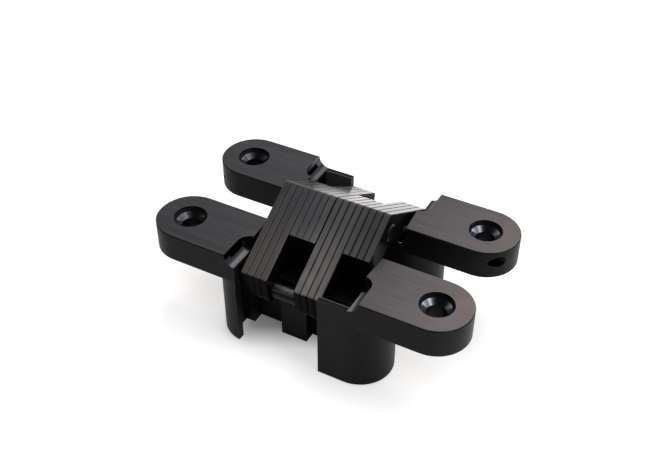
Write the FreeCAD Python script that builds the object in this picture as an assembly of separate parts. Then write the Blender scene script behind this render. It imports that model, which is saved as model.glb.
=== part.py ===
import FreeCAD, Part
import math
import os

# Concealed hinge for a flush door, laid open flat: two die-cast leaves joined by a pack of bent link plates.
# X runs along the leaves, Y across them, Z up. The origin is under the middle, at the blocks' bottom faces.

# Leaf sizes
LEAF_LENGTH = 95.0
LEAF_WIDTH = 19.6
LEAF_OFFSET = 16.85
BODY_DEPTH = 30.7
EAR_THICKNESS = 8.6
BLOCK_LENGTH = 52.4
EDGE_BREAK = 0.3

# Countersunk screw holes in the ears
SCREW_SPACING = 75.4
SCREW_RADIUS = 2.7
SCREW_SINK_RADIUS = 4.75
SCREW_SINK_RIM = 0.6

# Places of the linkage axes, across (from the middle plane) and above the faces
PIVOT_Y = 9.75
PIVOT_Z = -3.4
CENTRE_Z = 3.0
SLIDE_Y = 20.5
SLIDE_Z = -12.0

# Link plates
PLATES_PER_GROUP = 4
PLATE_THICKNESS = 1.94
PLATE_PITCH = 2.04
MIDDLE_GAP = 0.28
PEAK_Z = 9.2
PEAK_SLOPE = 31.0
PEAK_ROUND = 1.2
NOSE_Y = 12.4
HEEL_Y = 25.0
HEEL_ROUND = 0.7
EYE_RADIUS = 2.6
TAIL_RADIUS = 3.5
INNER_HALF_WIDTH = 2.6
CROTCH_ROUND = 3.0
HOOK_RADIUS = 2.15
HOOK_SWEEP = 80.0
PLATE_CHAMFER = 0.17
CHAMFER_BAND = 0.8

# Pins and their bores
PIN_RADIUS = 1.75
PIVOT_PIN_LENGTH = 44.0
SLIDE_PIN_RADIUS = 1.25
SLIDE_PIN_LENGTH = 39.4
SPACER_RADIUS = 2.2
SPACER_END_GAP = 0.1
PIN_CHAMFER = 0.3
HEAD_RADIUS = 2.5
HEAD_HEIGHT = 0.45
HEAD_CHAMFER = 0.35
RUNNING_CLEARANCE = 0.05
LEAF_BORE_CLEARANCE = 0.02
KNOCKOUT_RADIUS = 0.6
KNOCKOUT_Y = 9.3
KNOCKOUT_Z = -4.8

# Recesses in the block
POCKET_HALF_LENGTH = 17.3
FAR_WALL = 2.4
CLOSED_FAR_WALL = 1.5
CHANNEL_WIDTH = 6.2
DEEP_POCKET_Y = 14.5
GROUP_CLEARANCE = 0.15
WINDOW_EDGE_X = 8.4
RIB_DROP = 9.6
SCALLOP_RADIUS = 3.5
SCALLOP_X = 16.8
SCALLOP_END_Y = 15.9
CHANNEL_END_X = 20.1
LIP_UNDERSIDE = 4.7
LIP_SLIT = 0.75
EYE_POCKET_RADIUS = 6.1
ARM_RAMP_NEAR_Z = -5.6
ARM_RAMP_FAR_Z = -13.2
MOUTH_FLARE = 0.6

# Values that follow from these
NEAR_Y = LEAF_OFFSET - LEAF_WIDTH / 2
FAR_Y = LEAF_OFFSET + LEAF_WIDTH / 2
CHANNEL_FAR_Y = FAR_Y - FAR_WALL
CHANNEL_NEAR_Y = CHANNEL_FAR_Y - CHANNEL_WIDTH
GROUP_LENGTH = PLATES_PER_GROUP * PLATE_PITCH
STACK_HALF_LENGTH = MIDDLE_GAP / 2 + 2 * GROUP_LENGTH
OVERRUN = 5.0

X_AXIS = FreeCAD.Vector(1, 0, 0)
Y_AXIS = FreeCAD.Vector(0, 1, 0)
Z_AXIS = FreeCAD.Vector(0, 0, 1)


def box(x_range, y_range, z_range):
    """A block between pairs of coordinates, with heights given from the faces."""
    size = [high - low for low, high in (x_range, y_range, z_range)]
    corner = FreeCAD.Vector(x_range[0], y_range[0], z_range[0] + BODY_DEPTH)
    return Part.makeBox(*size, corner)


def bar(radius, x_range, y, z):
    """A round bar along X, with its height given from the faces."""
    start = FreeCAD.Vector(x_range[0], y, z + BODY_DEPTH)
    return Part.makeCylinder(radius, x_range[1] - x_range[0], start, X_AXIS)


def prism_along_x(points, x_range):
    """A straight-sided section in Y and Z, drawn out along X."""
    corners = [FreeCAD.Vector(x_range[0], y, z + BODY_DEPTH) for y, z in points]
    face = Part.Face(Part.makePolygon(corners + corners[:1]))
    return face.extrude(X_AXIS * (x_range[1] - x_range[0]))


def stadium(length, z_range):
    """A bar with full-round ends on the front leaf's centre line."""
    radius = LEAF_WIDTH / 2
    reach = length / 2 - radius
    y = -LEAF_OFFSET
    z = z_range[0] + BODY_DEPTH
    right_low = FreeCAD.Vector(reach, y - radius, z)
    right_high = FreeCAD.Vector(reach, y + radius, z)
    left_high = FreeCAD.Vector(-reach, y + radius, z)
    left_low = FreeCAD.Vector(-reach, y - radius, z)
    edges = [
        Part.LineSegment(left_low, right_low).toShape(),
        Part.Arc(right_low, FreeCAD.Vector(length / 2, y, z), right_high).toShape(),
        Part.LineSegment(right_high, left_high).toShape(),
        Part.Arc(left_high, FreeCAD.Vector(-length / 2, y, z), left_low).toShape(),
    ]
    return Part.Face(Part.Wire(edges)).extrude(Z_AXIS * (z_range[1] - z_range[0]))


def edges_at_height(shape, z):
    """The edges that lie flat at one height above the faces."""
    level = z + BODY_DEPTH
    boxes = [(edge, edge.BoundBox) for edge in shape.Edges]
    return [edge for edge, span in boxes if abs(span.ZMin - level) < 1e-6 and abs(span.ZMax - level) < 1e-6]


def group_range(group):
    """The X range of one of the four groups of plates, counted from -X."""
    start = group * GROUP_LENGTH - 2 * GROUP_LENGTH
    start += MIDDLE_GAP / 2 if group > 1 else -MIDDLE_GAP / 2
    return start, start + GROUP_LENGTH


def blank():
    """The leaf before its recesses: a thin plate with two ears over a deep block."""
    plate = stadium(LEAF_LENGTH, (-EAR_THICKNESS, 0))
    plate = plate.makeChamfer(EDGE_BREAK, edges_at_height(plate, 0))
    block = stadium(BLOCK_LENGTH, (-BODY_DEPTH, -EAR_THICKNESS))
    block = block.makeChamfer(EDGE_BREAK, edges_at_height(block, -BODY_DEPTH))
    return plate.fuse(block).removeSplitter()


def screw_holes():
    """Countersunk holes with a short straight rim over each cone."""
    cone_depth = SCREW_SINK_RADIUS - SCREW_RADIUS
    tools = []
    for x in (-SCREW_SPACING / 2, SCREW_SPACING / 2):
        top = FreeCAD.Vector(x, -LEAF_OFFSET, BODY_DEPTH)
        seat = top - Z_AXIS * SCREW_SINK_RIM
        down = Z_AXIS * -1
        tools.append(Part.makeCylinder(SCREW_SINK_RADIUS, SCREW_SINK_RIM + 1, top + Z_AXIS, down))
        tools.append(Part.makeCone(SCREW_SINK_RADIUS, SCREW_RADIUS, cone_depth, seat, down))
        tools.append(Part.makeCylinder(SCREW_RADIUS, EAR_THICKNESS + 1, top, down))
    return tools


def scallop():
    """The ball-nosed groove across the top of the block, open to the far side."""
    reach = SCALLOP_X
    end_y = -SCALLOP_END_Y - SCALLOP_RADIUS
    out_y = -FAR_Y - OVERRUN
    tools = [box((-reach, reach), (out_y, end_y), (-SCALLOP_RADIUS, OVERRUN))]
    tools.append(bar(SCALLOP_RADIUS, (-reach, reach), end_y, 0))
    for x in (-reach, reach):
        start = FreeCAD.Vector(x, out_y, BODY_DEPTH)
        tools.append(Part.makeCylinder(SCALLOP_RADIUS, end_y - out_y, start, Y_AXIS))
        tools.append(Part.makeSphere(SCALLOP_RADIUS, FreeCAD.Vector(x, end_y, BODY_DEPTH)))
    return tools


def slide_channel():
    """The slide pin's upright channel: closed ends, a slit in each lip, a thinner wall beside the window."""
    channel = (-CHANNEL_FAR_Y, -CHANNEL_NEAR_Y)
    low = -BODY_DEPTH - OVERRUN
    reach = POCKET_HALF_LENGTH
    tools = [box((-reach, reach), channel, (low, OVERRUN))]
    tools.append(box((WINDOW_EDGE_X, reach), (CLOSED_FAR_WALL - FAR_Y, -CHANNEL_NEAR_Y), (low, OVERRUN)))
    tools.append(box((-CHANNEL_END_X, CHANNEL_END_X), channel, (low, -LIP_UNDERSIDE)))
    for x in (-CHANNEL_END_X, CHANNEL_END_X - LIP_SLIT):
        tools.append(box((x, x + LIP_SLIT), channel, (-LIP_UNDERSIDE - 1, 0)))
    return tools


def arm_pockets():
    """The deep pockets that swallow the long arms when the hinge closes, and their ramps."""
    low = -BODY_DEPTH - OVERRUN
    ramp = [
        (-NEAR_Y + OVERRUN, OVERRUN),
        (-NEAR_Y + OVERRUN, ARM_RAMP_NEAR_Z),
        (-NEAR_Y, ARM_RAMP_NEAR_Z),
        (-DEEP_POCKET_Y, ARM_RAMP_FAR_Z),
        (-DEEP_POCKET_Y - 1, ARM_RAMP_FAR_Z),
        (-DEEP_POCKET_Y - 1, OVERRUN),
    ]
    tools = []
    for group in (0, 2):
        start, end = group_range(group)
        x_range = (start - GROUP_CLEARANCE, end + GROUP_CLEARANCE)
        tools.append(prism_along_x(ramp, x_range))
        if group == 0:
            x_range = (-POCKET_HALF_LENGTH, x_range[1])
        tools.append(box(x_range, (-CHANNEL_FAR_Y, -DEEP_POCKET_Y), (low, OVERRUN)))
    return tools


def eye_pockets():
    """The round-bottomed pockets in which the short arms turn on the pivot pin, over the guide ribs."""
    tools = []
    for group in (1, 3):
        start, end = group_range(group)
        x_range = (start - GROUP_CLEARANCE, end + GROUP_CLEARANCE)
        if group == 3:
            x_range = (x_range[0], POCKET_HALF_LENGTH)
        tools.append(bar(EYE_POCKET_RADIUS, x_range, -PIVOT_Y, PIVOT_Z))
        tools.append(box(x_range, (-PIVOT_Y - EYE_POCKET_RADIUS, OVERRUN - NEAR_Y), (PIVOT_Z, OVERRUN)))
        tools.append(box(x_range, (-CHANNEL_FAR_Y, -PIVOT_Y - 1), (-RIB_DROP, OVERRUN)))
    return tools


def mouth():
    """The flared opening of the near side, as wide as the whole pack of plates."""
    wide = POCKET_HALF_LENGTH + MOUTH_FLARE
    outline = [
        (-wide, -NEAR_Y),
        (-POCKET_HALF_LENGTH, -SCALLOP_END_Y),
        (POCKET_HALF_LENGTH, -SCALLOP_END_Y),
        (wide, -NEAR_Y),
        (wide, -NEAR_Y + OVERRUN),
        (-wide, -NEAR_Y + OVERRUN),
    ]
    floor = PIVOT_Z - PIN_RADIUS - 1
    corners = [FreeCAD.Vector(x, y, floor + BODY_DEPTH) for x, y in outline]
    face = Part.Face(Part.makePolygon(corners + corners[:1]))
    return face.extrude(Z_AXIS * (OVERRUN - floor))


def pivot_bore():
    """The pin's bore from the -X end, and the small knock-out hole that meets it from the +X end."""
    end = PIVOT_PIN_LENGTH / 2
    out = LEAF_LENGTH / 2 + OVERRUN
    wide = bar(PIN_RADIUS + LEAF_BORE_CLEARANCE, (-out, end), -PIVOT_Y, PIVOT_Z)
    narrow = bar(KNOCKOUT_RADIUS, (end - 1, out), -KNOCKOUT_Y, KNOCKOUT_Z)
    return [wide, narrow]


def front_leaf():
    """One leaf: ears, block, link pockets, slide channel and the window in its far wall."""
    low = -BODY_DEPTH - OVERRUN
    window = box((-POCKET_HALF_LENGTH, WINDOW_EDGE_X), (-FAR_Y - OVERRUN, -CHANNEL_FAR_Y + 1), (low, OVERRUN))
    tools = [window, mouth()]
    tools += screw_holes() + scallop() + slide_channel() + arm_pockets() + eye_pockets() + pivot_bore()
    return blank().cut(tools).removeSplitter()


def polar(centre, radius, degrees):
    """The point at a radius and direction from a centre in the section plane."""
    angle = math.radians(degrees)
    return centre[0] + radius * math.cos(angle), centre[1] + radius * math.sin(angle)


def heading(start, end):
    """The direction from one section point to another, in degrees."""
    return math.degrees(math.atan2(end[1] - start[1], end[0] - start[0]))


def touch_normal(start, start_radius, end, end_radius):
    """The direction square to the lower line that touches two circles."""
    gap = math.dist(start, end)
    return heading(start, end) - math.degrees(math.acos((start_radius - end_radius) / gap))


def touch_from(point, centre, radius, side):
    """The direction in which a line from a point touches a circle, on its left (+1) or right (-1) side."""
    return heading(centre, point) + side * math.degrees(math.acos(radius / math.dist(centre, point)))


def rounded(before, corner, after, radius):
    """Three points of the arc that rounds a corner: where it starts, its middle and where it ends."""
    first = heading(corner, before)
    half = ((heading(corner, after) - first + 180) % 360 - 180) / 2
    reach = radius / math.tan(math.radians(abs(half)))
    depth = radius / math.sin(math.radians(abs(half))) - radius
    start, end = polar(corner, reach, first), polar(corner, reach, first + 2 * half)
    return start, polar(corner, depth, first + half), end


def line(start, end):
    """A straight edge of the plate's outline."""
    return Part.LineSegment(FreeCAD.Vector(0, *start), FreeCAD.Vector(0, *end)).toShape()


def arc(centre, radius, first, last):
    """A round edge of the plate's outline between two directions."""
    places = [polar(centre, radius, a) for a in (first, (first + last) / 2, last)]
    return Part.Arc(*[FreeCAD.Vector(0, *place) for place in places]).toShape()


def crossing(first, first_heading, second, second_heading):
    """The point where two lines in the section plane meet."""
    ux, uy = polar((0, 0), 1, first_heading)
    vx, vy = polar((0, 0), 1, second_heading)
    step = ((second[0] - first[0]) * vy - (second[1] - first[1]) * vx) / (ux * vy - uy * vx)
    return first[0] + step * ux, first[1] + step * uy


def crown_height(y):
    """The height of a plate's straight upper edges at a distance from the peak."""
    return PEAK_Z - abs(y) * math.tan(math.radians(PEAK_SLOPE))


def plate_outline():
    """The bent link: eye at the front pivot, peak over the centre pin, tail at the rear slide pin."""
    eye = (-PIVOT_Y, PIVOT_Z)
    centre = (0.0, CENTRE_Z)
    tail = (SLIDE_Y, SLIDE_Z)

    # Upper side: nose, peak and heel are the corners
    nose = (-NOSE_Y, crown_height(NOSE_Y))
    peak = (0.0, PEAK_Z)
    heel = (HEEL_Y, crown_height(HEEL_Y))
    eye_touch = touch_from(nose, eye, EYE_RADIUS, 1)
    tail_touch = touch_from(heel, tail, TAIL_RADIUS, -1)

    # Lower side: both arms have straight inner edges that meet under the centre pin
    short_normal = touch_normal(eye, EYE_RADIUS, centre, INNER_HALF_WIDTH)
    long_normal = touch_normal(centre, INNER_HALF_WIDTH, tail, TAIL_RADIUS)
    eye_low = polar(eye, EYE_RADIUS, short_normal)
    tail_low = polar(tail, TAIL_RADIUS, long_normal)
    crotch = crossing(eye_low, short_normal + 90, tail_low, long_normal + 90)

    eye_end = polar(eye, EYE_RADIUS, eye_touch)
    tail_end = polar(tail, TAIL_RADIUS, tail_touch)
    corners = [
        rounded(nose, peak, heel, PEAK_ROUND),
        rounded(peak, heel, tail_end, HEEL_ROUND),
        rounded(tail_low, crotch, eye_low, CROTCH_ROUND),
    ]
    peak_arc, heel_arc, crotch_arc = corners
    edges = [Part.Arc(*[FreeCAD.Vector(0, *place) for place in corner]).toShape() for corner in corners]
    edges += [
        line(eye_end, nose),
        line(nose, peak_arc[0]),
        line(peak_arc[2], heel_arc[0]),
        line(heel_arc[2], tail_end),
        arc(tail, TAIL_RADIUS, tail_touch, long_normal),
        line(tail_low, crotch_arc[0]),
        line(crotch_arc[2], eye_low),
        arc(eye, EYE_RADIUS, short_normal, eye_touch - 360),
    ]
    return Part.Face(Part.Wire(Part.__sortEdges__(edges)))


def disc(place, radius):
    """A round face in the section plane."""
    return Part.Face(Part.Wire([Part.Circle(FreeCAD.Vector(0, *place), X_AXIS, radius).toShape()]))


def hook():
    """The notch in the long arm that clears the rear pivot pin as it swings about the centre pin."""
    centre = (0.0, CENTRE_Z)
    shoulder = (PIVOT_Y, PIVOT_Z)
    reach = math.dist(centre, shoulder)
    start = heading(centre, shoulder)
    end = start - HOOK_SWEEP
    edges = [
        arc(centre, reach + HOOK_RADIUS, start, end),
        line(polar(centre, reach + HOOK_RADIUS, end), polar(centre, reach - HOOK_RADIUS, end)),
        arc(centre, reach - HOOK_RADIUS, end, start),
        line(polar(centre, reach - HOOK_RADIUS, start), polar(centre, reach + HOOK_RADIUS, start)),
    ]
    return Part.Face(Part.Wire(edges)).fuse(disc(shoulder, HOOK_RADIUS))


def link_plate(start_x, centre_clearance):
    """One plate of the front set, with its three bores and softened outer edges."""
    section = plate_outline().cut(hook())
    bores = [
        disc((-PIVOT_Y, PIVOT_Z), PIN_RADIUS + RUNNING_CLEARANCE),
        disc((0.0, CENTRE_Z), PIN_RADIUS + centre_clearance),
        disc((SLIDE_Y, SLIDE_Z), SLIDE_PIN_RADIUS),
    ]
    for bore in bores:
        section = section.cut(bore)
    plate = section.extrude(X_AXIS * PLATE_THICKNESS)
    rims = [e for e in plate.Edges if is_outer_rim(e)]
    plate = plate.makeChamfer(PLATE_CHAMFER, rims)
    plate.translate(FreeCAD.Vector(start_x, 0, BODY_DEPTH))
    return plate


def is_outer_rim(edge):
    """True for the rim edges that run over the peak and down the heel."""
    if edge.BoundBox.XLength > 1e-6:
        return False
    middle = edge.valueAt((edge.FirstParameter + edge.LastParameter) / 2)
    on_crown = middle.z > crown_height(middle.y) - CHAMFER_BAND
    on_heel = middle.y > HEEL_Y - CHAMFER_BAND
    return on_crown or on_heel


def round_pin(radius, length, y, z):
    """A straight pin along X, centred on the middle, with chamfered ends."""
    pin = bar(radius, (-length / 2, length / 2), y, z)
    rims = [e for e in pin.Edges if e.BoundBox.XLength < 1e-6]
    return pin.makeChamfer(PIN_CHAMFER, rims)


def centre_pin():
    """The pin through all sixteen plates, peened to a low chamfered head outside each end plate."""
    reach = STACK_HALF_LENGTH
    pin = bar(PIN_RADIUS, (-reach, reach), 0, CENTRE_Z)
    for start in (-reach - HEAD_HEIGHT, reach):
        pin = pin.fuse(bar(HEAD_RADIUS, (start, start + HEAD_HEIGHT), 0, CENTRE_Z))
    pin = pin.removeSplitter()
    outer = reach + HEAD_HEIGHT / 2
    rims = [e for e in pin.Edges if e.BoundBox.XLength < 1e-6 and abs(e.BoundBox.XMin) > outer]
    return pin.makeChamfer(HEAD_CHAMFER, rims)


def spacer(x_range):
    """The sleeve on the front slide pin that keeps its two groups of plates apart."""
    span = (x_range[0] + SPACER_END_GAP, x_range[1] - SPACER_END_GAP)
    sleeve = bar(SPACER_RADIUS, span, -SLIDE_Y, SLIDE_Z)
    return sleeve.cut(bar(SLIDE_PIN_RADIUS + LEAF_BORE_CLEARANCE, x_range, -SLIDE_Y, SLIDE_Z))


def turned_about(shape):
    """The same piece turned half round about the upright middle axis."""
    copy = shape.copy()
    copy.rotate(FreeCAD.Vector(0, 0, 0), Z_AXIS, 180)
    return copy


def pieces():
    """Every piece of the hinge by name."""
    leaf = front_leaf()
    sleeve = spacer(group_range(1))
    pivot_pin = round_pin(PIN_RADIUS, PIVOT_PIN_LENGTH, -PIVOT_Y, PIVOT_Z)
    slide_pin = round_pin(SLIDE_PIN_RADIUS, SLIDE_PIN_LENGTH, -SLIDE_Y, SLIDE_Z)
    found = {
        "front_leaf": leaf,
        "rear_leaf": turned_about(leaf),
        "front_pivot_pin": pivot_pin,
        "rear_pivot_pin": turned_about(pivot_pin),
        "front_slide_pin": slide_pin,
        "rear_slide_pin": turned_about(slide_pin),
        "front_spacer": sleeve,
        "rear_spacer": turned_about(sleeve),
        "centre_pin": centre_pin(),
    }
    spare = (PLATE_PITCH - PLATE_THICKNESS) / 2
    count = 0
    for group in (1, 3):
        start = group_range(group)[0] + spare
        for index in range(PLATES_PER_GROUP):
            count += 1
            place = start + index * PLATE_PITCH
            found[f"front_link_{count}"] = link_plate(place, 0)
            twin = link_plate(place, RUNNING_CLEARANCE)
            found[f"rear_link_{count}"] = turned_about(twin)
    return found


def main():
    os.makedirs("parts", exist_ok=True)
    for name, shape in pieces().items():
        assert shape.isValid() and len(shape.Solids) == 1, name
        shape.exportStep(f"parts/{name}.step")


main()
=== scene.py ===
import math

import bpy
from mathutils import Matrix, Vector


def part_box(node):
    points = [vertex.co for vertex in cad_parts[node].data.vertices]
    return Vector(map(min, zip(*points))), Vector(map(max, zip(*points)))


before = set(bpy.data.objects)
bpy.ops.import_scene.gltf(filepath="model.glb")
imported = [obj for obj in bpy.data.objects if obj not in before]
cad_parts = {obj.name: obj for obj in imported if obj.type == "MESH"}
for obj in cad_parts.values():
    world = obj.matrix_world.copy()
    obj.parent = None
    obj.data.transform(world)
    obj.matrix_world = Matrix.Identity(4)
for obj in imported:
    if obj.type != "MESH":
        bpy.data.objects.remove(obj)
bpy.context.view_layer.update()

# Concealed hinge in a black coating, laid open on a white table. Sizes are in metres.
# A pair of numbers gives the two ends of a change.
MM = 0.001

# Camera, placed by its aim point near the leaf faces
PHOTO_WIDTH = 660
SENSOR_WIDTH = 36.0
FOCAL_PIXELS = 953.75
CAMERA_AZIMUTH = math.radians(28.517)
CAMERA_ELEVATION = math.radians(38.736)
CAMERA_DISTANCE = 265.52 * MM
CAMERA_AIM = Vector((-1.336 * MM, -1.569 * MM, 30.7 * MM))
NEAR_CLIP = 0.01

# Table
TABLE_SIZE = 6.0
TABLE_COLOUR = (0.909, 0.903, 0.878, 1.0)

# Painted glow that the hinge mirrors: weak in the shade of the hinge and far off, strongest to the right
SHADE_HALF_SIZE = (16 * MM, 15 * MM, 0.0)
SHADE_FADE = (0.0, 13 * MM)
SHADE_GLOW = (0.06, 0.57)
FAR_REACH = (40 * MM, 100 * MM)
FAR_SHARE = (1.0, 0.2)
RIGHT_X = (25 * MM, 55 * MM)
RIGHT_SHARE = (1.0, 1.75)

# Painted glow that the eye sees: a longer, paler painted shadow that is turned on the table, and more
# glow in front
VIEW_HALF_SIZE = (24.4 * MM, 9.2 * MM, 0.0)
VIEW_TURN = -0.506
VIEW_FADE = (0.0, 9.6 * MM)
VIEW_GLOW = (0.15, 0.56)
VIEW_Y = (-21.3 * MM, -10.1 * MM)
VIEW_SHARE = (1.0, 0.516)

# Leaf places: brushed faces, countersunk screw holes, grooves and the hollow for the links
FACE_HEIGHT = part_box("front_leaf")[1][2]
FACE_SKIN = (FACE_HEIGHT - 0.1 * MM, FACE_HEIGHT - 0.05 * MM)
SCREW_PLACE = (37.7 * MM, 16.85 * MM, 0.0)
SINK_RADIUS = 4.05 * MM
SINK_LEAN = (0.4, 0.6)
LIP_RADIUS = 5.0 * MM
LIP_LEAN = (-0.5, -0.3)
RING_TURNS = 2 * math.pi / (0.16 * MM)
CONE_X = (-20 * MM, 20 * MM)
CONE_PAINTED_GLINT = (0.4, 0.95)
GROOVE_X = 18.8 * MM
GROOVE_HALF_WIDTH = 1.6 * MM
GROOVE_END_Y = 15.8 * MM
GROOVE_OPEN_Y = 26.6 * MM
GROOVE_FLOOR = FACE_HEIGHT - 3.55 * MM
FLANK_X = (GROOVE_X + 0.9 * MM, GROOVE_X + 1.2 * MM)
FLANK_Y = (19.3 * MM, 18.4 * MM)
POCKET_X = 17.2 * MM
POCKET_Y = 24.1 * MM
WALL_Y = 25.3 * MM
POCKET_FLOOR = FACE_HEIGHT - 13.5 * MM
INNER_LEAN = -0.5
INNER_X = (10 * MM, 15 * MM)
PATCH_X = (24 * MM, 45 * MM)

# Leaf finish, with painted shade and painted light in the hollows, grooves and countersinks
COAT_BLACK = (0.006, 0.006, 0.006, 1.0)
PAINTED_SHADE_BLACK = (0.002, 0.002, 0.002, 1.0)
WALL_PAINTED_LIGHT = (0.14, 0.14, 0.142, 1.0)
CONE_METAL_PAINTED_DIM = (0.17, 0.174, 0.19, 1.0)
CONE_METAL_PAINTED_LIT = (0.41, 0.42, 0.45, 1.0)
CONE_PAINTED_SHADE = (0.035, 0.037, 0.044, 1.0)
GROOVE_BLUE = (0.041, 0.042, 0.048, 1.0)
GROOVE_PAINTED_LIGHT = (0.4, 0.4, 0.41, 1.0)
FACE_DARK = (0.063, 0.063, 0.068, 1.0)
FACE_LIGHT = (0.085, 0.084, 0.089, 1.0)
FACE_WARM = (0.106, 0.094, 0.09, 1.0)
LEAF_GRAIN = (90, 4200, 4200)
LEAF_BAND_SHARE = 0.35
LEAF_STREAK = (0.36, 0.64)
PATCH_CLOUD = (0.4, 0.64)
PATCH_SHARE = (0.0, 0.6)
LEAF_RUB_WIDTH = 0.25 * MM
LEAF_RUB_SHARE = 0.35
COAT_ROUGHNESS = (0.42, 0.55)
FACE_ROUGHNESS = (0.3, 0.44)
SINK_ROUGHNESS = 0.21
GROOVE_ROUGHNESS = 0.3
LEAF_SPECULAR = 0.075
RING_RELIEF = 0.08
LEAF_RELIEF = 0.006 * MM
LEAF_RELIEF_STRENGTH = 1.0

# Link places: the brushed crown of each plate, its rear slope, the peak and the middle of the pack
PLATE_PITCH = 2.04 * MM
CROWN_LEAN = (0.45, 0.7)
REAR_LEAN = (0.2, 0.5)
PEAK_SHADE_Y = (6 * MM, 3 * MM)
BROWN_Y = (6 * MM, 20 * MM)
MIDDLE_LEFT_X = (-8 * MM, 2 * MM)
MIDDLE_RIGHT_X = (10 * MM, 7 * MM)
LEFT_END_X = (2 * MM, -8 * MM)
RIGHT_END_X = (8 * MM, 14 * MM)

# Link finish, with painted shade in the gaps, near the peak and at the ends of the rear slopes. The
# widths of the gaps are shares of the plate pitch.
LINK_BLACK = (0.003, 0.003, 0.003, 1.0)
CROWN_GREY = (0.162, 0.16, 0.162, 1.0)
CROWN_SILVER = (0.22, 0.217, 0.217, 1.0)
CROWN_BROWN = (0.3, 0.258, 0.225, 1.0)
CROWN_TAN = (0.58, 0.52, 0.465, 1.0)
CROWN_PALE = (0.24, 0.242, 0.242, 1.0)
RUBBED_EDGE = (0.2, 0.195, 0.19, 1.0)
LINK_GRAIN = (2600, 140, 140)
LINK_BAND_SHARE = 0.4
LINK_STREAK = (0.35, 0.65)
DULL_SHARE = 0.35
PLATE_SHARE = 0.12
LINK_RUB_WIDTH = 0.2 * MM
LINK_RUB_SHARE = 0.3
GAP_CLOUD_SCALE = 160.0
GAP_CLOUD = (0.35, 0.65)
GAP_CLOUD_SHARE = (0.4, 1.0)
GAP_WIDTH = (0.03, 0.07)
GAP_FADE = (0.05, 0.0)
GAP_DARK = (0.0, 0.8)
REAR_GAP_SHARE = (1.0, 0.5)
PEAK_SHADE_SCALE = 130.0
PEAK_SHADE_CLOUD = (0.46, 0.68)
PEAK_SHADE_DARK = (0.0, 0.35)
LEFT_END_DARK = (0.0, 0.8)
RIGHT_END_DARK = (0.0, 0.15)
BROWN_CLOUD = (0.3, 0.7)
BROWN_SHARE = (0.6, 1.0)
CROWN_ROUGHNESS = (0.12, 0.2)
SIDE_ROUGHNESS = (0.16, 0.28)
LINK_SPECULAR = 0.01
LINK_GLAZE = 0.15
LINK_GLAZE_ROUGHNESS = 0.08
LINK_RELIEF = 0.004 * MM
LINK_RELIEF_STRENGTH = 0.5

# Pin and spacer finish
STEEL_DARK = (0.12, 0.118, 0.116, 1.0)
STEEL_LIGHT = (0.2, 0.196, 0.192, 1.0)
PIN_GRAIN = (4200, 120, 120)
PIN_STREAK = (0.35, 0.65)
PIN_RUB_WIDTH = 0.2 * MM
PIN_RUB_SHARE = 0.4
WORN_AND_SHEEN_LEAN = (0.5, 0.75)
SPACER_WEAR_AND_SHEEN = 1.0
PIN_WEAR_AND_SHEEN = 0.15
PIN_ROUGHNESS = (0.22, 0.36)
PIN_SPECULAR = 0.08
PIN_RELIEF = 0.003 * MM
PIN_RELIEF_STRENGTH = 0.5

# Shared effects. Cloud scales are in cells a metre. Streak and band scales are shares of the grain.
STREAK_SCALE = 1.0
STREAK_SPAN = (0.3, 0.7)
BAND_SCALE = 0.18
PATCH_SCALE = 130.0
MOTTLE_SCALE = 260.0
PEEL_SCALE = 2600.0
RUB_SCALE = 420.0
RUB_CLOUD = (0.38, 0.62)
EDGE_TURN = (0.995, 0.88)
WHOLE = (0.0, 1.0)

# Room: bright low down, most of all to the right, dimmer overhead and dimmest behind the camera
ROOM_COLOUR = (0.94, 0.95, 1.02, 1.0)
ROOM_RISE = (0.42, 0.22)
ROOM_X = (-0.5, 0.6)
ROOM_Y = (-0.6, -0.2)
HORIZON_LIGHT = (1.0, 2.7)
OVERHEAD_LIGHT = 0.42
FRONT_SHARE = (0.22, 1.0)

# Soft boxes: degrees from +Y towards +X, degrees of height, distance, size, glow and colour
PANELS = {
    "back_panel": (3, 54, 1.0, (0.6, 0.6), 2.6, (1.0, 0.84, 0.75)),
    "right_panel": (98, 40, 1.1, (0.35, 0.35), 1.6, (0.96, 0.98, 1.0)),
    "top_panel": (35, 68, 1.0, (0.8, 0.8), 3.2, (1.0, 1.0, 1.0)),
}


# Node helpers

def feed(tree, socket, value):
    """Joins an output to a socket, or sets the socket to a plain value."""
    if isinstance(value, bpy.types.NodeSocket):
        tree.links.new(value, socket)
    else:
        socket.default_value = value


def add_node(tree, kind, **settings):
    """A shader node with its settings."""
    node = tree.nodes.new("ShaderNode" + kind)
    for name, value in settings.items():
        setattr(node, name, value)
    return node


def reckon(tree, operation, first, second=0.0):
    """The result of a sum with one or two terms."""
    node = add_node(tree, "Math", operation=operation)
    feed(tree, node.inputs[0], first)
    feed(tree, node.inputs[1], second)
    return node.outputs[0]


def times(tree, product, *others):
    """The product of several values."""
    for other in others:
        product = reckon(tree, "MULTIPLY", product, other)
    return product


def largest(tree, most, *others):
    """The largest of several values."""
    for other in others:
        most = reckon(tree, "MAXIMUM", most, other)
    return most


def below(tree, value, limit):
    """One where a value is under a limit, and zero elsewhere."""
    return reckon(tree, "LESS_THAN", value, limit)


def above(tree, value, limit):
    """One where a value is over a limit, and zero elsewhere."""
    return reckon(tree, "GREATER_THAN", value, limit)


def move(tree, operation, first, second=(0.0, 0.0, 0.0)):
    """A place changed by another."""
    node = add_node(tree, "VectorMath", operation=operation)
    feed(tree, node.inputs[0], first)
    feed(tree, node.inputs[1], second)
    return node.outputs["Vector"]


def length(tree, place):
    """The distance of a place from the origin."""
    node = add_node(tree, "VectorMath", operation="LENGTH")
    tree.links.new(place, node.inputs[0])
    return node.outputs["Value"]


def axes(tree, place):
    """The X, Y and Z of a place or direction."""
    node = add_node(tree, "SeparateXYZ")
    tree.links.new(place, node.inputs[0])
    return node.outputs


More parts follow.
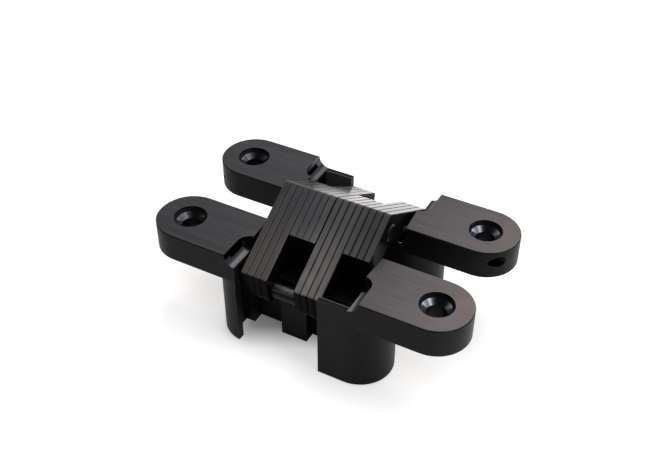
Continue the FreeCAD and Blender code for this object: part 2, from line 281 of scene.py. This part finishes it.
def ramp(tree, value, span, result=WHOLE):
    """A value that goes from one result to the other as the given value crosses the span."""
    node = add_node(tree, "MapRange")
    tree.links.new(value, node.inputs["Value"])
    node.inputs["From Min"].default_value = span[0]
    node.inputs["From Max"].default_value = span[1]
    node.inputs["To Min"].default_value = result[0]
    node.inputs["To Max"].default_value = result[1]
    return node.outputs["Result"]


def mix_value(tree, mask, first, second):
    """One value where the mask is dark, the other where it is light."""
    node = add_node(tree, "Mix", data_type="FLOAT")
    feed(tree, node.inputs[0], mask)
    feed(tree, node.inputs[2], first)
    feed(tree, node.inputs[3], second)
    return node.outputs[0]


def mix_colour(tree, mask, first, second):
    """One colour where the mask is dark, the other where it is light."""
    node = add_node(tree, "Mix", data_type="RGBA")
    feed(tree, node.inputs[0], mask)
    feed(tree, node.inputs[6], first)
    feed(tree, node.inputs[7], second)
    return node.outputs[2]


def noise(tree, place, scale, detail=2.0, roughness=0.5):
    """Cloudy values from 0 to 1."""
    node = add_node(tree, "TexNoise")
    tree.links.new(place, node.inputs["Vector"])
    node.inputs["Scale"].default_value = scale
    node.inputs["Detail"].default_value = detail
    node.inputs["Roughness"].default_value = roughness
    return node.outputs["Fac"]


def own_value(tree, number):
    """A value from 0 to 1 that belongs to each number."""
    node = add_node(tree, "TexWhiteNoise", noise_dimensions="1D")
    tree.links.new(number, node.inputs["W"])
    return node.outputs["Value"]


def new_group(name, inputs, outputs):
    """An empty node group with named sockets."""
    tree = bpy.data.node_groups.new(name, "ShaderNodeTree")
    for socket_name, kind in inputs:
        tree.interface.new_socket(socket_name, in_out="INPUT", socket_type="NodeSocket" + kind)
    for socket_name, kind in outputs:
        tree.interface.new_socket(socket_name, in_out="OUTPUT", socket_type="NodeSocket" + kind)
    return tree, tree.nodes.new("NodeGroupInput").outputs, tree.nodes.new("NodeGroupOutput").inputs


def place_group(tree, group, **values):
    """A group placed in a material, with its own values."""
    node = add_node(tree, "Group", node_tree=group)
    for name, value in values.items():
        feed(tree, node.inputs[name], value)
    return node.outputs


# Shared effects

def make_brushing():
    """Fine straight scratches, drawn out along the axis whose grain is coarse, and cloudy patches."""
    tree, given, result = new_group(
        "brushing",
        [("Coordinates", "Vector"), ("Grain", "Vector")],
        [("Streak", "Float"), ("Band", "Float"), ("Patch", "Float")],
    )
    place = given["Coordinates"]
    mapping = add_node(tree, "Mapping")
    tree.links.new(place, mapping.inputs["Vector"])
    tree.links.new(given["Grain"], mapping.inputs["Scale"])
    drawn = mapping.outputs["Vector"]
    tree.links.new(noise(tree, drawn, STREAK_SCALE, detail=3.0, roughness=0.65), result["Streak"])
    tree.links.new(noise(tree, drawn, BAND_SCALE), result["Band"])
    tree.links.new(noise(tree, place, PATCH_SCALE, detail=3.0, roughness=0.55), result["Patch"])
    return tree


def make_coat_grain():
    """The slight unevenness of a baked coating."""
    tree, given, result = new_group(
        "coat_grain",
        [("Coordinates", "Vector")],
        [("Mottle", "Float"), ("Peel", "Float")],
    )
    place = given["Coordinates"]
    tree.links.new(noise(tree, place, MOTTLE_SCALE, detail=3.0, roughness=0.6), result["Mottle"])
    tree.links.new(noise(tree, place, PEEL_SCALE), result["Peel"])
    return tree


def make_edge_rub():
    """A broken line along the edges, where handling has rubbed the coating thin."""
    tree, given, result = new_group(
        "edge_rub",
        [("Coordinates", "Vector"), ("Width", "Float")],
        [("Rub", "Float")],
    )
    rounded = add_node(tree, "Bevel", samples=4)
    tree.links.new(given["Width"], rounded.inputs["Radius"])
    surface = add_node(tree, "NewGeometry")
    turn = add_node(tree, "VectorMath", operation="DOT_PRODUCT")
    tree.links.new(rounded.outputs["Normal"], turn.inputs[0])
    tree.links.new(surface.outputs["True Normal"], turn.inputs[1])
    near_edge = ramp(tree, turn.outputs["Value"], EDGE_TURN)
    cloud = noise(tree, given["Coordinates"], RUB_SCALE, detail=3.0, roughness=0.7)
    tree.links.new(times(tree, near_edge, ramp(tree, cloud, RUB_CLOUD)), result["Rub"])
    return tree


BRUSHING = make_brushing()
COAT_GRAIN = make_coat_grain()
EDGE_RUB = make_edge_rub()


# Materials

def new_material(name):
    """A node material, with its shader and the coordinates of the piece."""
    material = bpy.data.materials.new(name)
    material.use_nodes = True
    tree = material.node_tree
    return material, tree, tree.nodes["Principled BSDF"], add_node(tree, "TexCoord").outputs


def add_bump(tree, shader, height, distance, strength):
    """Small relief on a surface."""
    bump = add_node(tree, "Bump")
    bump.inputs["Strength"].default_value = strength
    bump.inputs["Distance"].default_value = distance
    tree.links.new(height, bump.inputs["Height"])
    tree.links.new(bump.outputs["Normal"], shader.inputs["Normal"])


def leaf_black():
    """The leaf: satin black coating, with brushed faces and glossy countersinks, and painted shade and
    light in its hollows, grooves and countersinks.
    """
    material, tree, shader, coordinates = new_material("leaf_black")
    place = coordinates["Object"]
    spot = axes(tree, place)
    facing = axes(tree, coordinates["Normal"])
    folded = move(tree, "ABSOLUTE", place)
    quarter = axes(tree, folded)
    face = ramp(tree, spot["Z"], FACE_SKIN)
    front = below(tree, spot["Y"], 0.0)

    # Countersinks, by the distance from the nearest screw: machined metal with a painted highlight at
    # their left and right and painted shade between, and the holes on the right-hand side painted
    # lighter
    from_screw = move(tree, "MULTIPLY", move(tree, "SUBTRACT", folded, SCREW_PLACE), (1, 1, 0))
    reach = length(tree, from_screw)
    sink = times(tree, below(tree, reach, SINK_RADIUS), ramp(tree, facing["Z"], SINK_LEAN))
    lip = times(tree, below(tree, reach, LIP_RADIUS), ramp(tree, facing["Z"], LIP_LEAN))
    rings = reckon(tree, "SINE", times(tree, reach, RING_TURNS))
    painted_glint = reckon(tree, "ABSOLUTE", reckon(tree, "DIVIDE", axes(tree, from_screw)["X"], reach))
    cone = mix_colour(tree, ramp(tree, spot["X"], CONE_X), CONE_METAL_PAINTED_DIM, CONE_METAL_PAINTED_LIT)
    cone = mix_colour(tree, ramp(tree, painted_glint, CONE_PAINTED_GLINT), CONE_PAINTED_SHADE, cone)

    # Grooves across the leaf, with painted shade on the outer flank and at the inner end of the front
    # ones, and painted light on the front right-hand groove
    strip = reckon(tree, "COMPARE", quarter["X"], GROOVE_X)
    strip.node.inputs[2].default_value = GROOVE_HALF_WIDTH
    groove = times(
        tree,
        strip,
        above(tree, quarter["Y"], GROOVE_END_Y),
        above(tree, spot["Z"], GROOVE_FLOOR),
        below(tree, quarter["Y"], GROOVE_OPEN_Y),
    )
    flank = largest(tree, ramp(tree, quarter["X"], FLANK_X), ramp(tree, quarter["Y"], FLANK_Y))
    flank = times(tree, flank, front)
    painted_lit = times(tree, front, above(tree, spot["X"], 0.0))
    floor = mix_colour(tree, painted_lit, GROOVE_BLUE, GROOVE_PAINTED_LIGHT)
    floor = mix_colour(tree, flank, floor, PAINTED_SHADE_BLACK)

    # Hollow of the block, where the links turn and slide, which gets painted shade, and its end wall,
    # which gets painted light
    hollow = times(tree, below(tree, quarter["X"], POCKET_X), above(tree, spot["Z"], POCKET_FLOOR))
    pocket = times(tree, hollow, below(tree, quarter["Y"], POCKET_Y))
    wall = times(tree, hollow, above(tree, quarter["Y"], POCKET_Y), below(tree, quarter["Y"], WALL_Y))

    # Inner side of the right-hand rear ear, which gets painted shade
    inner = times(
        tree,
        below(tree, facing["Y"], INNER_LEAN),
        ramp(tree, spot["X"], INNER_X),
        above(tree, spot["Y"], 0.0),
    )

    # Brushed faces, with warmer, lighter cloudy patches towards the right-hand ends
    brushing = place_group(tree, BRUSHING, Coordinates=place, Grain=LEAF_GRAIN)
    grain = place_group(tree, COAT_GRAIN, Coordinates=place)
    rub = place_group(tree, EDGE_RUB, Coordinates=place, Width=LEAF_RUB_WIDTH)["Rub"]
    streak = mix_value(tree, LEAF_BAND_SHARE, brushing["Streak"], brushing["Band"])
    metal = mix_colour(tree, ramp(tree, streak, LEAF_STREAK), FACE_DARK, FACE_LIGHT)
    warm_patch = ramp(tree, brushing["Patch"], PATCH_CLOUD, PATCH_SHARE)
    warm_patch = times(tree, warm_patch, ramp(tree, spot["X"], PATCH_X))
    metal = mix_colour(tree, warm_patch, metal, FACE_WARM)

    # Painted shade in the hollow, on the rims and bores of the screw holes and on the inner ear side
    painted_shade = largest(tree, pocket, lip, inner)
    colour = mix_colour(tree, painted_shade, COAT_BLACK, PAINTED_SHADE_BLACK)
    colour = mix_colour(tree, wall, colour, WALL_PAINTED_LIGHT)
    colour = mix_colour(tree, sink, colour, cone)
    colour = mix_colour(tree, groove, colour, floor)
    colour = mix_colour(tree, face, colour, metal)
    colour = mix_colour(tree, times(tree, rub, LEAF_RUB_SHARE), colour, RUBBED_EDGE)
    tree.links.new(colour, shader.inputs["Base Color"])

    tree.links.new(largest(tree, sink, groove, face), shader.inputs["Metallic"])
    roughness = mix_value(tree, grain["Mottle"], *COAT_ROUGHNESS)
    roughness = mix_value(tree, sink, roughness, SINK_ROUGHNESS)
    roughness = mix_value(tree, groove, roughness, GROOVE_ROUGHNESS)
    roughness = mix_value(tree, face, roughness, ramp(tree, streak, STREAK_SPAN, FACE_ROUGHNESS))
    tree.links.new(roughness, shader.inputs["Roughness"])
    shader.inputs["Specular IOR Level"].default_value = LEAF_SPECULAR

    relief = mix_value(tree, face, grain["Peel"], streak)
    relief = mix_value(tree, sink, relief, times(tree, rings, RING_RELIEF))
    add_bump(tree, shader, relief, LEAF_RELIEF, LEAF_RELIEF_STRENGTH)
    return material


def link_black():
    """A link plate: brushed crown that browns towards the tail, glossy black sides."""
    material, tree, shader, coordinates = new_material("link_black")
    place = coordinates["Object"]
    spot = axes(tree, place)
    facing = axes(tree, coordinates["Normal"])
    outward = reckon(tree, "ABSOLUTE", spot["Y"])
    crown = ramp(tree, facing["Z"], CROWN_LEAN)
    rear = ramp(tree, facing["Y"], REAR_LEAN)

    # Each plate of the pack has its own shade
    across = reckon(tree, "DIVIDE", spot["X"], PLATE_PITCH)
    shade = own_value(tree, reckon(tree, "FLOOR", across))

    # Painted shade in the gaps between the plates, of uneven width, fainter on the rear slopes
    seam = reckon(tree, "ROUND", across)
    beside = reckon(tree, "ABSOLUTE", reckon(tree, "SUBTRACT", across, seam))
    spread = own_value(tree, reckon(tree, "ADD", seam, 0.5))
    uneven = ramp(tree, noise(tree, place, GAP_CLOUD_SCALE), GAP_CLOUD, GAP_CLOUD_SHARE)
    width = times(tree, uneven, ramp(tree, spread, WHOLE, GAP_WIDTH))
    gap = ramp(tree, reckon(tree, "SUBTRACT", beside, width), GAP_FADE, GAP_DARK)
    gap = times(tree, gap, ramp(tree, rear, WHOLE, REAR_GAP_SHARE))

    # Painted shade, standing for dark reflections: cloudy near the peak, and at both ends of the rear
    # slopes
    peak_shade = ramp(tree, noise(tree, place, PEAK_SHADE_SCALE), PEAK_SHADE_CLOUD, PEAK_SHADE_DARK)
    peak_shade = times(tree, peak_shade, ramp(tree, outward, PEAK_SHADE_Y))
    left_end = ramp(tree, spot["X"], LEFT_END_X, LEFT_END_DARK)
    right_end = ramp(tree, spot["X"], RIGHT_END_X, RIGHT_END_DARK)
    shaded = times(tree, largest(tree, left_end, right_end), rear)
    plate_painted_shade = largest(tree, gap, peak_shade, shaded)

    brushing = place_group(tree, BRUSHING, Coordinates=place, Grain=LINK_GRAIN)
    grain = place_group(tree, COAT_GRAIN, Coordinates=place)
    rub = place_group(tree, EDGE_RUB, Coordinates=place, Width=LINK_RUB_WIDTH)["Rub"]
    streak = mix_value(tree, LINK_BAND_SHARE, brushing["Streak"], brushing["Band"])

    # Grey at the peak and brown at the tails, both lighter in the middle of the pack
    browned = ramp(tree, outward, BROWN_Y)
    browned = times(tree, browned, ramp(tree, grain["Mottle"], BROWN_CLOUD, BROWN_SHARE))
    middle = times(tree, ramp(tree, spot["X"], MIDDLE_LEFT_X), ramp(tree, spot["X"], MIDDLE_RIGHT_X))
    grey = mix_colour(tree, middle, CROWN_GREY, CROWN_SILVER)
    brown = mix_colour(tree, middle, CROWN_BROWN, CROWN_TAN)
    pale = mix_colour(tree, middle, CROWN_GREY, CROWN_PALE)
    brown = mix_colour(tree, rear, brown, pale)
    metal = mix_colour(tree, browned, grey, brown)

    dull = times(tree, ramp(tree, streak, LINK_STREAK), DULL_SHARE)
    metal = mix_colour(tree, dull, metal, LINK_BLACK)
    metal = mix_colour(tree, times(tree, shade, PLATE_SHARE), metal, LINK_BLACK)
    metal = mix_colour(tree, times(tree, rub, LINK_RUB_SHARE), metal, RUBBED_EDGE)
    metal = mix_colour(tree, plate_painted_shade, metal, LINK_BLACK)
    tree.links.new(mix_colour(tree, crown, LINK_BLACK, metal), shader.inputs["Base Color"])

    bright = times(tree, crown, reckon(tree, "SUBTRACT", 1.0, plate_painted_shade))
    tree.links.new(bright, shader.inputs["Metallic"])
    side_roughness = mix_value(tree, grain["Mottle"], *SIDE_ROUGHNESS)
    crown_roughness = ramp(tree, streak, STREAK_SPAN, CROWN_ROUGHNESS)
    tree.links.new(mix_value(tree, crown, side_roughness, crown_roughness), shader.inputs["Roughness"])
    shader.inputs["Specular IOR Level"].default_value = LINK_SPECULAR
    tree.links.new(times(tree, bright, LINK_GLAZE), shader.inputs["Coat Weight"])
    shader.inputs["Coat Roughness"].default_value = LINK_GLAZE_ROUGHNESS

    relief = mix_value(tree, crown, grain["Peel"], streak)
    add_bump(tree, shader, relief, LINK_RELIEF, LINK_RELIEF_STRENGTH)
    return material


def pin_steel(name, wear_and_sheen):
    """Blackened steel with turned rings, bare along the top, partly wear and partly a painted sheen, for
    the pins and spacers.
    """
    material, tree, shader, coordinates = new_material(name)
    place = coordinates["Object"]
    facing = axes(tree, coordinates["Normal"])
    brushing = place_group(tree, BRUSHING, Coordinates=place, Grain=PIN_GRAIN)
    grain = place_group(tree, COAT_GRAIN, Coordinates=place)
    rub = place_group(tree, EDGE_RUB, Coordinates=place, Width=PIN_RUB_WIDTH)["Rub"]

    worn_and_sheen = ramp(tree, facing["Z"], WORN_AND_SHEEN_LEAN, (0.0, wear_and_sheen))
    metal = mix_colour(tree, ramp(tree, brushing["Streak"], PIN_STREAK), STEEL_DARK, STEEL_LIGHT)
    metal = mix_colour(tree, times(tree, rub, PIN_RUB_SHARE), metal, RUBBED_EDGE)
    tree.links.new(mix_colour(tree, worn_and_sheen, LINK_BLACK, metal), shader.inputs["Base Color"])
    tree.links.new(worn_and_sheen, shader.inputs["Metallic"])
    tree.links.new(mix_value(tree, grain["Mottle"], *PIN_ROUGHNESS), shader.inputs["Roughness"])
    shader.inputs["Specular IOR Level"].default_value = PIN_SPECULAR
    add_bump(tree, shader, brushing["Streak"], PIN_RELIEF, PIN_RELIEF_STRENGTH)
    return material


def shade_reach(tree, place, half_size):
    """The distance on the table from a shade of the given half size."""
    outside = move(tree, "SUBTRACT", move(tree, "ABSOLUTE", place), half_size)
    return length(tree, move(tree, "MAXIMUM", outside))


def table_white():
    """White table top, darkest in the shade of the hinge and white to the eye around it, with a glow
    painted by place that shapes that shadow.
    """
    material, tree, shader, coordinates = new_material("table_white")
    place = coordinates["Object"]
    spot = axes(tree, place)
    shader.inputs["Base Color"].default_value = TABLE_COLOUR
    shader.inputs["Roughness"].default_value = 1.0
    shader.inputs["Specular IOR Level"].default_value = 0.0

    # What the hinge mirrors
    reach = shade_reach(tree, place, SHADE_HALF_SIZE)
    light = times(
        tree,
        ramp(tree, reach, SHADE_FADE, SHADE_GLOW),
        ramp(tree, reach, FAR_REACH, FAR_SHARE),
        ramp(tree, spot["X"], RIGHT_X, RIGHT_SHARE),
    )

    # What the eye sees
    turned = add_node(tree, "VectorRotate", rotation_type="Z_AXIS")
    tree.links.new(place, turned.inputs["Vector"])
    turned.inputs["Angle"].default_value = VIEW_TURN
    away = shade_reach(tree, turned.outputs["Vector"], VIEW_HALF_SIZE)
    view = times(tree, ramp(tree, away, VIEW_FADE, VIEW_GLOW), ramp(tree, spot["Y"], VIEW_Y, VIEW_SHARE))

    rays = add_node(tree, "LightPath").outputs
    mirrored = times(tree, largest(tree, rays["Is Glossy Ray"], rays["Is Transmission Ray"]), light)
    seen = times(tree, rays["Is Camera Ray"], view)
    glow = add_node(tree, "Emission")
    tree.links.new(reckon(tree, "ADD", seen, mirrored), glow.inputs["Strength"])
    both = add_node(tree, "AddShader")
    tree.links.new(shader.outputs[0], both.inputs[0])
    tree.links.new(glow.outputs[0], both.inputs[1])
    tree.links.new(both.outputs[0], tree.nodes["Material Output"].inputs["Surface"])
    return material


def dress_hinge():
    """Gives every piece of the hinge its finish."""
    leaf = leaf_black()
    link = link_black()
    spacer = pin_steel("spacer_steel", SPACER_WEAR_AND_SHEEN)
    pin = pin_steel("pin_steel", PIN_WEAR_AND_SHEEN)
    for name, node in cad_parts.items():
        node.data.materials.clear()
        if name.endswith("_leaf"):
            finish = leaf
        elif "_link_" in name:
            finish = link
        elif name.endswith("_spacer"):
            finish = spacer
        else:
            finish = pin
        node.data.materials.append(finish)


# Stage

def lay_table():
    """The white table under the hinge."""
    bpy.ops.object.select_all(action="DESELECT")
    bpy.ops.mesh.primitive_plane_add(size=TABLE_SIZE, location=(0, 0, 0))
    table = bpy.context.active_object
    table.name = "table"
    table.data.materials.append(table_white())


def add_panel(name, azimuth, elevation, distance, size, glow, colour):
    """A soft box that faces the hinge."""
    turn = math.radians(azimuth)
    rise = math.radians(elevation)
    back = Vector((math.sin(turn) * math.cos(rise), math.cos(turn) * math.cos(rise), math.sin(rise)))
    bpy.ops.object.light_add(type="AREA", location=CAMERA_AIM + back * distance)
    lamp = bpy.context.active_object
    lamp.name = name
    lamp.rotation_euler = back.to_track_quat("Z", "Y").to_euler()
    lamp.data.shape = "RECTANGLE"
    lamp.data.size, lamp.data.size_y = size
    lamp.data.energy = glow * math.pi * size[0] * size[1]
    lamp.data.color = colour


def light_room():
    """White surroundings that dim upwards and towards the camera, with soft boxes over the table."""
    world = bpy.data.worlds.new("studio")
    bpy.context.scene.world = world
    world.use_nodes = True
    tree = world.node_tree
    room = tree.nodes["Background"]
    room.inputs["Color"].default_value = ROOM_COLOUR
    way = axes(tree, add_node(tree, "TexCoord").outputs["Generated"])
    horizon = ramp(tree, way["X"], ROOM_X, HORIZON_LIGHT)
    band = mix_value(tree, ramp(tree, way["Z"], ROOM_RISE), OVERHEAD_LIGHT, horizon)
    light = times(tree, band, ramp(tree, way["Y"], ROOM_Y, FRONT_SHARE))
    rays = add_node(tree, "LightPath").outputs
    tree.links.new(mix_value(tree, rays["Is Camera Ray"], light, 1.0), room.inputs["Strength"])
    for name, panel in PANELS.items():
        add_panel(name, *panel)


def place_camera():
    """The camera at the photograph's viewing angle, with no roll."""
    back = Vector((
        math.sin(CAMERA_AZIMUTH) * math.cos(CAMERA_ELEVATION),
        -math.cos(CAMERA_AZIMUTH) * math.cos(CAMERA_ELEVATION),
        math.sin(CAMERA_ELEVATION),
    ))
    bpy.ops.object.camera_add(location=CAMERA_AIM + back * CAMERA_DISTANCE)
    camera = bpy.context.active_object
    camera.rotation_euler = back.to_track_quat("Z", "Y").to_euler()
    camera.data.sensor_width = SENSOR_WIDTH
    camera.data.lens = FOCAL_PIXELS * SENSOR_WIDTH / PHOTO_WIDTH
    camera.data.clip_start = NEAR_CLIP
    bpy.context.scene.camera = camera


dress_hinge()
lay_table()
light_room()
place_camera()
bpy.context.scene.view_settings.view_transform = "Standard"
